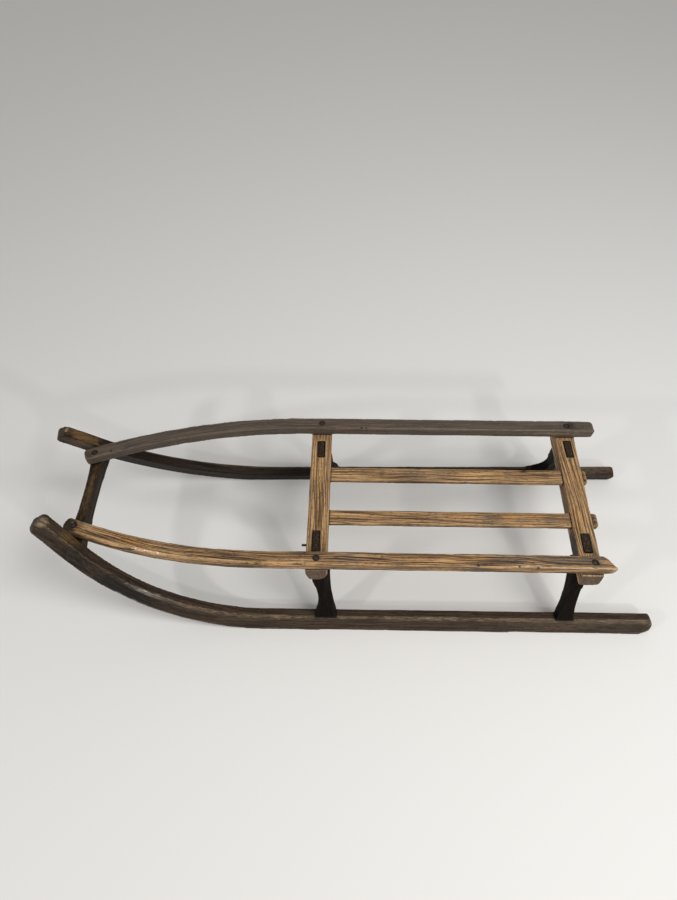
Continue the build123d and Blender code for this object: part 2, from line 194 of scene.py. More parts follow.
# Each row is one place that years of use have marked: on which timber, what it has become,
# its middle, how far it reaches along each axis, how strong it is, and how deep it is sunk.
Place = namedtuple("Place", "node mark x y z reach_x reach_y reach_z strength depth")
places = [
    # Near rail: golden where it is gripped, grey where wet lies, reddish and dark at its tip
    Place("rail_left", "dark", 554, 88, 222, 28, 44, 34, 0.84, 0.0),
    Place("rail_left", "light", 510, 92, 226, 20, 14, 8, 0.30, 0.0),
    Place("rail_left", "golden", 440, 128, 228, 90, 14, 20, 0.75, 0.0),
    Place("rail_left", "grey", 330, 140, 232, 50, 12, 8, 0.45, 0.0),
    Place("rail_left", "golden", 200, 164, 225, 130, 8, 14, 0.55, 0.0),
    Place("rail_left", "polished", 390, 147, 231, 66, 17, 10, 1.00, 0.0),
    Place("rail_left", "grey", 12, 157, 236, 36, 16, 8, 0.70, 0.0),
    Place("rail_left", "dark", 69, 157, 236, 10, 9, 6, 0.60, 0.2),
    Place("rail_left", "golden", -140, 157, 235, 130, 22, 25, 0.45, 0.0),
    Place("rail_left", "grey", -290, 154, 236, 33, 15, 8, 0.85, 0.0),
    Place("rail_left", "light", -320, 168, 235, 44, 4, 5, 0.50, 0.0),
    Place("rail_left", "grey", -400, 154, 236, 84, 15, 8, 0.95, 0.0),
    Place("rail_left", "light", -412, 171, 235, 90, 2.5, 3, 0.55, 0.0),
    Place("rail_left", "golden", -345, 172, 223, 120, 5, 10, 0.75, 0.0),
    Place("rail_left", "dark", -228, 168, 235, 4, 3, 3, 0.90, 0.5),
    Place("rail_left", "dark", -303, 168, 235, 4, 3, 3, 0.90, 0.5),
    Place("rail_left", "dark", -336, 170, 234, 4, 3, 3, 0.90, 0.5),
    Place("rail_left", "dark", -12, 172, 218, 60, 5, 6, 0.40, 0.0),
    Place("rail_left", "dark", -447, 160, 235, 3, 2.5, 3, 1.00, 1.2),
    Place("rail_left", "light", -477, 168, 226, 12, 8, 12, 0.55, 0.0),
    # Far rail: warm specks on its inner edge, damp round the rear peg, a pale rubbed end
    Place("rail_right", "golden", -47, -145, 230, 52, 4, 9, 0.60, 0.0),
    Place("rail_right", "golden", 26, -147, 232, 30, 6, 8, 0.70, 0.0),
    Place("rail_right", "dark", -14, -146, 234, 4, 3, 3, 0.90, 0.4),
    Place("rail_right", "dark", -24, -146, 234, 3, 3, 3, 0.90, 0.4),
    Place("rail_right", "dark", -450, -158, 236, 14, 11, 5, 0.70, 0.0),
    # Painted highlight: a pale line along the far rail's lower edge.
    Place("rail_right", "light", -420, -144, 226, 90, 3, 5, 0.40, 0.0),
    Place("rail_right", "light", -501, -168, 235, 8, 13, 10, 0.60, 0.0),
    Place("rail_right", "dark", 505, -86, 226, 3, 3, 4, 0.90, 1.0),
    Place("rail_right", "dark", 538, -64, 228, 20, 11, 5, 0.45, 0.0),
    Place("rail_right", "light", 512, -42, 226, 24, 10, 8, 0.22, 0.0),
    # Slats: trodden golden and weathered grey in turn
    Place("slat_right", "grey", -120, -47, 209, 34, 18, 8, 0.65, 0.0),
    Place("slat_right", "grey", -172, -47, 209, 26, 18, 8, 0.40, 0.0),
    Place("slat_right", "dark", -56, -49, 209, 9, 12, 6, 0.45, 0.0),
    Place("slat_right", "golden", -76, -40, 209, 14, 9, 8, 0.60, 0.0),
    Place("slat_right", "grey", -312, -47, 209, 11, 18, 8, 0.60, 0.0),
    Place("slat_right", "golden", -360, -47, 209, 34, 14, 8, 0.40, 0.0),
    Place("slat_right", "dark", -345, -60, 208, 10, 4, 5, 0.80, 1.2),
    Place("slat_left", "grey", -268, 52, 209, 30, 14, 6, 0.70, 0.0),
    Place("slat_left", "dark", -462, 52, 205, 13, 22, 12, 0.80, 0.0),
    Place("slat_right", "dark", -458, -47, 205, 14, 22, 12, 0.82, 0.0),
    Place("slat_left", "golden", -301, 53, 209, 20, 14, 8, 0.60, 0.0),
    Place("slat_left", "golden", -354, 47, 209, 17, 10, 8, 0.55, 0.0),
    Place("slat_left", "grey", -384, 54, 209, 22, 16, 8, 0.55, 0.0),
    Place("slat_left", "golden", -60, 53, 209, 90, 16, 8, 0.30, 0.0),
    # Painted shade: a dark line along each slat's lower side.
    Place("slat_left", "dark", -190, 70, 202, 270, 2.5, 6, 0.60, 0.0),
    Place("slat_right", "dark", -190, -31, 202, 270, 2.5, 6, 0.60, 0.0),
    # Beams: pale lower edge at the near end; the rear beam's forward face painted dark as shade,
    # black where it meets the near leg
    Place("beam_front", "light", 70, 175, 188, 26, 6, 10, 0.45, 0.0),
    Place("beam_rear", "dark", -421, 110, 196, 5, 55, 26, 0.90, 0.0),
    Place("beam_rear", "dark", -421, -20, 196, 4, 130, 22, 0.40, 0.0),
    # Near runner: dark horn with a gripped golden top, a pale splintered tip, a rubbed ridge
    Place("runner_left", "dark", 455, 178, 142, 140, 26, 140, 0.84, 0.0),
    Place("runner_left", "dark", 535, 185, 218, 95, 62, 95, 0.90, 0.0),
    Place("runner_left", "golden", 528, 129, 244, 34, 15, 32, 0.90, 0.0),
    Place("runner_left", "light", 568, 122, 290, 16, 15, 12, 0.80, 0.0),
    Place("runner_left", "grey", 560, 130, 268, 30, 30, 30, 0.35, 0.0),
    Place("runner_left", "light", 372, 192, 100, 40, 7, 30, 0.45, 0.0),
    # Its polished arris is also painted pale: worn wood, and a painted highlight.
    Place("runner_left", "polished", 425, 184, 126, 84, 18, 66, 1.00, 0.0),
    Place("runner_left", "dark", 296, 198, 52, 12, 4, 3, 0.95, 1.4),
    Place("runner_left", "dark", -424, 204, 22, 5, 5, 3, 0.95, 1.4),
    Place("runner_left", "light", -430, 200, 30, 230, 20, 26, 0.24, 0.0),
    Place("runner_left", "light", -130, 201, 38, 110, 7, 8, 0.45, 0.0),
    # Far runner: its horn's top is gripped bright
    Place("runner_right", "golden", 556, -106, 254, 56, 26, 50, 1.00, 0.0),
    Place("runner_right", "light", 582, -99, 288, 20, 18, 10, 0.85, 0.0),
    Place("runner_right", "light", 604, -88, 270, 9, 18, 16, 0.45, 0.0),
    Place("runner_right", "golden", 330, -166, 108, 46, 6, 12, 0.35, 0.0),
    Place("runner_right", "light", -530, -186, 34, 130, 26, 26, 0.32, 0.0),
    Place("runner_right", "dark", 330, -160, 75, 70, 8, 30, 0.60, 0.0),
    # Legs and crossbar
    Place("leg_rear_left", "light", -393, 196, 48, 14, 10, 8, 0.40, 0.0),
    Place("leg_rear_left", "dark", -408, 184, 110, 4, 6, 5, 0.90, 1.0),
    Place("leg_front_left", "light", 62, 198, 56, 7, 8, 9, 0.40, 0.0),
    Place("crossbar_front", "light", 536, 0, 206, 9, 84, 12, 0.65, 0.0),
    # Painted shade: the crossbar's rear face is painted black.
    Place("crossbar_front", "dark", 504, 0, 196, 6, 150, 24, 0.60, 0.0),
]
marks = sorted({place.mark for place in places})

# How far a mark runs past its reach, how ragged its border is and how fast it fades there
mark_reach, mark_ragged, mark_fading = 1.15, 0.5, 1.3


def linear(hex_colour):
    """An sRGB hex value as the linear colour that a shader takes."""
    channels = [int(hex_colour[i:i + 2], 16) / 255 for i in (1, 3, 5)]
    return [c / 12.92 if c <= 0.04045 else ((c + 0.055) / 1.055) ** 2.4 for c in channels] + [1.0]


def merged_copy(node):
    """The node's mesh as one clean bmesh, its loose triangles joined."""
    bm = bmesh.new()
    bm.from_mesh(nodes[node].data)
    bmesh.ops.remove_doubles(bm, verts=bm.verts, dist=weld)
    bmesh.ops.dissolve_limit(bm, angle_limit=flat_angle, verts=bm.verts, edges=bm.edges)
    return bm


def others_tree(node):
    """The faces of every other node, against which the joints darken: dirt, and painted shade
    where the pieces meet.
    """
    bm = bmesh.new()
    for name, other in nodes.items():
        if name != node:
            bm.from_mesh(other.data)
    tree = BVHTree.FromBMesh(bm)
    bm.free()
    return tree


def read_vectors(source, key):
    """The vertices' places (key co) or their normals (key vector), one row for each."""
    vectors = np.zeros(len(source) * 3)
    source.foreach_get(key, vectors)
    return vectors.reshape(-1, 3)


def tree_of(points):
    """The points, ready for asking which is the nearest."""
    tree = kdtree.KDTree(len(points))
    for i, point in enumerate(points):
        tree.insert(point, i)
    tree.balance()
    return tree


def by_a_peg(point):
    """Whether the point lies on a peg hole's rim, which isn't worn as an outer edge is."""
    return any((point.xy - middle).length < peg_reach for middle in peg_middles)


def round_outer_edge(bm, node):
    """Rounds the outer top edge as the maker's drawknife did: on a runner it stops short of the
    legs, whose feet stand out to that edge, and on the rail it starts in front of the deck."""
    side = "left" if node.endswith("left") else "right"
    outward = 1 if side == "left" else -1
    if node.startswith("runner"):
        kept = [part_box("leg_front_" + side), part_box("leg_rear_" + side)]
    else:
        kept = [(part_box(node)[0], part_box("beam_front")[1])]
    kept = [(low[0] - rounding_stop, high[0] + rounding_stop) for low, high in kept]
    for x in sum(kept, ()):
        bmesh.ops.bisect_plane(bm, geom=bm.verts[:] + bm.edges[:] + bm.faces[:],
                               plane_co=(x, 0, 0), plane_no=(1, 0, 0))
    chosen = []
    for edge in bm.edges:
        if len(edge.link_faces) != 2 or edge.calc_face_angle() < arris:
            continue
        middle = (edge.verts[0].co.x + edge.verts[1].co.x) / 2
        outer, upper = sorted(edge.link_faces, key=lambda face: -face.normal.y * outward)
        if (outer.normal.y * outward > outward_facing and upper.normal.z > upward_facing
                and upper.normal.x < forward_facing
                and not any(low < middle < high for low, high in kept)):
            chosen.append(edge)
    width = runner_round if node.startswith("runner") else rail_round
    bmesh.ops.bevel(bm, geom=chosen, offset=width, offset_type="OFFSET",
                    segments=rounding_segments, profile=0.5, affect="EDGES", material=-1)


def edge_tree(bm):
    """The points along the timber's outward edges, which feet and hands wear first."""
    points = []
    for edge in bm.edges:
        if len(edge.link_faces) == 2 and edge.is_convex and edge.calc_face_angle() > sharp_edge:
            a, b = edge.verts[0].co, edge.verts[1].co
            count = max(1, int((b - a).length / edge_point_step))
            points += [a.lerp(b, i / count) for i in range(count + 1)]
    return tree_of([point for point in points if not by_a_peg(point)])


def corner_tree(bm):
    """The timber's outward corners, where three worn edges meet and wood is lost fastest."""
    corners = []
    for vert in bm.verts:
        sharp = [edge for edge in vert.link_edges if len(edge.link_faces) == 2 and edge.is_convex
                 and edge.calc_face_angle() > arris]
        if len(sharp) >= 3:
            corners.append(vert.co.copy())
    return tree_of(corners)


def fine_mesh(name, bm):
    """The merged timber as an even net of small faces, fine enough for wear and tool marks."""
    coarse = bpy.data.meshes.new(name + "_coarse")
    bmesh.ops.triangulate(bm, faces=bm.faces)
    bm.to_mesh(coarse)
    shape = bpy.data.objects.new(name + "_coarse", coarse)
    bpy.context.scene.collection.objects.link(shape)
    net = shape.modifiers.new("net", "REMESH")
    net.mode = "VOXEL"
    net.voxel_size = surface_step
    net.use_smooth_shade = True
    evaluated = shape.evaluated_get(bpy.context.evaluated_depsgraph_get())
    mesh = bpy.data.meshes.new_from_object(evaluated)
    mesh.name = name
    bpy.data.objects.remove(shape)
    bpy.data.meshes.remove(coarse)
    return mesh


def grain_place(points, along):
    """Each point's place in its own timber: the way along the grain, which bends with the timber,
    and how far it is off the timber's middle line to the side and upward. Also the grain's
    direction there."""
    across = [1, 0, 0][along]
    upward = [2, 2, 1][along]
    low, high = points[:, along].min(), points[:, along].max()
    count = max(4, int((high - low) / bend_step))
    cuts = np.linspace(low, high, count + 1)
    cell = np.clip(((points[:, along] - low) / (high - low) * count).astype(int), 0, count - 1)
    centre = (cuts[:-1] + cuts[1:]) / 2
    middle = np.zeros((count, 2))
    for i in range(count):
        inside = points[cell == i]
        for j, axis in enumerate((across, upward)):
            middle[i, j] = (inside[:, axis].min() + inside[:, axis].max()) / 2
    for _ in range(bend_smoothings):
        middle[1:-1] = (middle[:-2] + 2 * middle[1:-1] + middle[2:]) / 4
    slope = np.gradient(middle, centre, axis=0)
    stretch = np.sqrt(1 + (slope ** 2).sum(axis=1))
    length = np.concatenate([[0], np.cumsum((stretch[1:] + stretch[:-1]) / 2 * np.diff(centre))])
    where = points[:, along]
    lift = np.interp(where, centre, slope[:, 1])
    flatten = 1 / np.sqrt(1 + lift ** 2)
    side = points[:, across] - np.interp(where, centre, middle[:, 0])
    height = (points[:, upward] - np.interp(where, centre, middle[:, 1])) * flatten
    travel = np.interp(where, centre, length) + height * lift * flatten
    direction = np.zeros((len(points), 3))
    direction[:, along] = 1
    direction[:, across] = np.interp(where, centre, slope[:, 0])
    direction[:, upward] = lift
    direction /= np.linalg.norm(direction, axis=1)[:, None]
    return np.stack([travel, side, height], axis=1), direction


def noise_at(points, rate, seed):
    """Smooth noise from -1 to 1 at each point; another seed gives another piece of wood."""
    shift = Vector([seed * part for part in seed_shift])
    scaled = points * np.array(rate)
    return np.array([noise.noise(Vector(p) + shift) for p in scaled])


def distances(points, tree):
    """How far each point is from the nearest of the tree's points."""
    return np.array([tree.find(p)[2] for p in points])


def gaps(points, tree, reach):
    """How far each point is from the nearest other piece, or the reach where none is near."""
    found = [tree.find_nearest(p, reach)[3] for p in points]
    return np.array([reach if gap is None else gap for gap in found])


def write_attribute(mesh, name, kind, values):
    """Keeps one value for each vertex, which the finishes read by its name."""
    attribute = mesh.attributes.new(name, kind, "POINT")
    key = "vector" if kind == "FLOAT_VECTOR" else "value"
    attribute.data.foreach_set(key, values.astype(np.float32).ravel())


def write_marks(mesh, node, points, ragged, rub):
    """The marked places of one timber, with ragged borders, polish only along its edges; gives
    how deep they are sunk."""
    sunk = np.zeros(len(points))
    strengths = {mark: np.zeros(len(points)) for mark in marks}
    for place in places:
        if place.node != node:
            continue
        middle = np.array([place.x, place.y, place.z]) * MM
        reach = np.array([place.reach_x, place.reach_y, place.reach_z]) * MM
        away = np.linalg.norm((points - middle) / reach, axis=1)
        inside = np.clip((mark_reach - away + mark_ragged * ragged) * mark_fading, 0, 1)
        if place.mark == "polished":
            inside = inside * np.clip(2 * rub, 0, 1)
        strengths[place.mark] = np.maximum(strengths[place.mark], inside * place.strength)
        sunk += inside * place.depth
    for mark, strength in strengths.items():
        write_attribute(mesh, mark, "FLOAT", strength)
    return sunk


def make_timber(row, seed):
    """One worn timber on the node's place: edges rubbed round, faces hollowed by the tools."""
    bm = merged_copy(row.node)
    if row.node in ("runner_left", "runner_right", "rail_left"):
        round_outer_edge(bm, row.node)
    edges, corners = edge_tree(bm), corner_tree(bm)
    mesh = fine_mesh(row.node + "_worn", bm)
    bm.free()
    points = read_vectors(mesh.vertices, "co")
    normals = read_vectors(mesh.vertex_normals, "vector")
    place, direction = grain_place(points, row.along)
    off_edge = distances(points, edges)
    nearness = np.clip(1 - off_edge / wear_reach, 0, 1)
    rub = np.clip(1 - off_edge / (row.rub_reach * MM), 0, 1)
    corner = np.clip(1 - distances(points, corners) / corner_reach, 0, 1)
    uneven = noise_at(place, uneven_rate, seed)
    ragged = noise_at(place, ragged_rate, seed + 0.5)
    scallop = noise_at(place, scallop_rate, seed + 1)
    waves = noise_at(place, wave_rate, seed + 2)
    furrow = noise_at(place, furrow_rate, seed + 3)
    outer = np.sign(points[:, 1].mean()) * place[:, 1] > 0
    share = np.where(outer, 1.0, row.inner_rub) if row.along == 0 else 1.0
    # Nearness to the other pieces, which the finishes paint near black: the joints' dirt and
    # painted shade where the pieces meet.
    joint_dirt_and_shade = 1 - gaps(points, others_tree(row.node), joint_dirt_and_shade_reach) / joint_dirt_and_shade_reach

    # Wear takes most from the edges, less from the inner ones, in nicks where the wood is weak,
    # and spares the joints, so that no gap opens beside another piece
    rough_edge = wear_steady + wear_uneven * uneven + wear_ragged * ragged
    wear = nearness ** 2 * np.clip(rough_edge, 0, wear_most)
    free = 1 - joint_spared * joint_dirt_and_shade
    nicks = np.clip(ragged - nick_from, 0, 1) * nearness * nick_depth
    sunk = write_marks(mesh, row.node, points, ragged, rub)
    cut = (row.edge_wear * (inner_wear + (1 - inner_wear) * share) * (wear + nicks)
           + row.corner_wear * corner ** 2 + sunk
           + row.furrow * np.clip(furrow - furrow_from, 0, 1) * furrow_steep
           + row.hollow * (0.5 + 0.5 * scallop) + row.wave * (0.5 + 0.5 * waves)) * free
    points = points - normals * (cut * MM)[:, None]
    points[:, 2] = np.maximum(points[:, 2], 0)
    mesh.vertices.foreach_set("co", points.ravel())
    mesh.update()

    # What the finishes read: the place in the grain, how rubbed it is, the painted shade on its
    # inner edges, the joints' dirt and painted shade, and how far it is sawn across
    heart = np.array([seed * heart_shift, row.heart_side * MM, row.heart_down * MM])
    grain = place + heart
    grain[:, 1] += row.drift_side * place[:, 0]
    grain[:, 2] += row.drift_up * place[:, 0]
    write_attribute(mesh, "grain", "FLOAT_VECTOR", grain)
    facing_up = rub_below + (1 - rub_below) * np.clip(normals[:, 2], 0, 1)
    patchy = rub_steady + rub_uneven * uneven + rub_ragged * ragged
    rubbed = (rub * patchy + rub_corner * corner) * facing_up * share
    write_attribute(mesh, "rubbed", "FLOAT", np.clip(rubbed, 0, 1))
    # Painted shade: how near the inner edges a point lies, which the runners' finishes paint near
    # black.
    write_attribute(mesh, "edge", "FLOAT", nearness * (1 - share))
    write_attribute(mesh, "joint_dirt_and_shade", "FLOAT", joint_dirt_and_shade)
    ending = np.abs((normals * direction).sum(axis=1))
    ending = np.clip((ending - end_grain_from) * end_grain_rise, 0, 1)
    write_attribute(mesh, "ending", "FLOAT", ending)
    piece = bpy.data.objects.new(mesh.name, mesh)
    bpy.context.scene.collection.objects.link(piece)
    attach(piece, body)
    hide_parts(row.node)
    mesh.materials.clear()
    mesh.materials.append(materials[row.finish])


def make_peg(node, seed):
    """One whittled peg, driven in and rubbed down flush, its rim worn and its end grain open."""
    low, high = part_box(node)
    middle = (Vector(low) + Vector(high)) / 2
    radius = (high[0] - low[0]) / 2
    bm = bmesh.new()
    bmesh.ops.create_cone(bm, cap_ends=True, segments=peg_sides, radius1=radius,
                          radius2=radius, depth=high[2] - low[2])
    bmesh.ops.translate(bm, verts=bm.verts, vec=middle)
    top = [face for face in bm.faces if face.normal.z > 0.9]
    for width in peg_rings:
        bmesh.ops.inset_region(bm, faces=top, thickness=width * MM)
    bmesh.ops.triangulate(bm, faces=top)
    bm.normal_update()
    mesh = bpy.data.meshes.new(node + "_whittled")
    bm.to_mesh(mesh)
    bm.free()
    points = read_vectors(mesh.vertices, "co")
    away = np.linalg.norm(points[:, :2] - np.array(middle[:2]), axis=1) / radius
    on_top = points[:, 2] > high[2] - peg_top
    rough = noise_at(points, peg_rate, seed)
    worn = (peg_rim_wear * away ** 4 + peg_sunk + peg_rough * rough) * MM
    points[:, 2] -= np.where(on_top, worn, 0)
    points[:, 2] = np.minimum(points[:, 2], high[2])
    mesh.vertices.foreach_set("co", points.ravel())
    mesh.update()
    write_attribute(mesh, "grain", "FLOAT_VECTOR", points[:, [2, 0, 1]] + seed * heart_shift)
    # Its rim is painted darker towards the hole: dirt, and painted shade.
    rim_dirt_and_shade = np.clip((away - peg_dirt_and_shade_from) * peg_dirt_and_shade_rise, 0, 1)
    write_attribute(mesh, "joint_dirt_and_shade", "FLOAT", rim_dirt_and_shade)
    write_attribute(mesh, "ending", "FLOAT", on_top * 1.0)
    for name in marks + ["rubbed", "edge"]:
        write_attribute(mesh, name, "FLOAT", np.zeros(len(points)))
    piece = bpy.data.objects.new(mesh.name, mesh)
    bpy.context.scene.collection.objects.link(piece)
    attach(piece, body)
    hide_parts(node)
    mesh.materials.append(materials["peg"])


def add(material, kind, inputs=None, out=0, **settings):
    """Adds one node with its settings; an input takes a value or another node's output."""
    node = material.node_tree.nodes.new(kind)
    for key, value in settings.items():
        setattr(node, key, value)
    for key, value in (inputs or {}).items():
        if isinstance(value, bpy.types.NodeSocket):
            material.node_tree.links.new(value, node.inputs[key])
        else:
            node.inputs[key].default_value = value
    return node.outputs[out] if node.outputs else node


def new_material(name):
    """An empty material, ready for its nodes."""
    material = bpy.data.materials.new(name)
    material.use_nodes = True
    material.node_tree.nodes.clear()
    return material


# Each row is one pattern in the wood: whether it follows the yearly rings, how long and how
# wide its features are in millimetres, and how broken up they are. The real pores of ash are
# 0.3 mm wide and too fine to show from here, so they are drawn three to five times as wide.
Pattern = namedtuple("Pattern", "name by_rings length width detail breakup")
patterns = [
    Pattern("lines", True, 125, 1.5, 0.6, 0.5),
    Pattern("hairs", True, 55, 0.9, 1.5, 0.5),
    Pattern("drift", False, 130, 20, 2.0, 0.5),
    Pattern("fibre", False, 16, 1.3, 3.0, 0.6),
    Pattern("pores", False, 9, 1.5, 2.0, 0.5),
    Pattern("specks", False, 4.5, 3.2, 3.0, 0.6),
    Pattern("blotch", False, 26, 15, 3.0, 0.6),
]

# The grain sways this often per metre and this far to the side. The relief is how deep the open
# grain stands in it, and how much of that the dark lines take. Wood has an IOR near 1.5, and
# what hands and weather have polished has a thin smooth skin of grease or wet.
sway_rate, sway_reach = 8, 8 * MM
relief_depth, line_share = 1.2 * MM, -0.7
wood_ior, skin_roughness = 1.5, 0.16

# Each finish is a body colour and its layers, laid on in turn: the pattern or mark that a layer
# follows, the values at which it starts and is full, its strength, the mark or pattern that it
# keeps within, and its colour.
Layer = namedtuple("Layer", "follows start full strength within colour")
Finish = namedtuple("Finish", "body layers rough polish gloss relief")
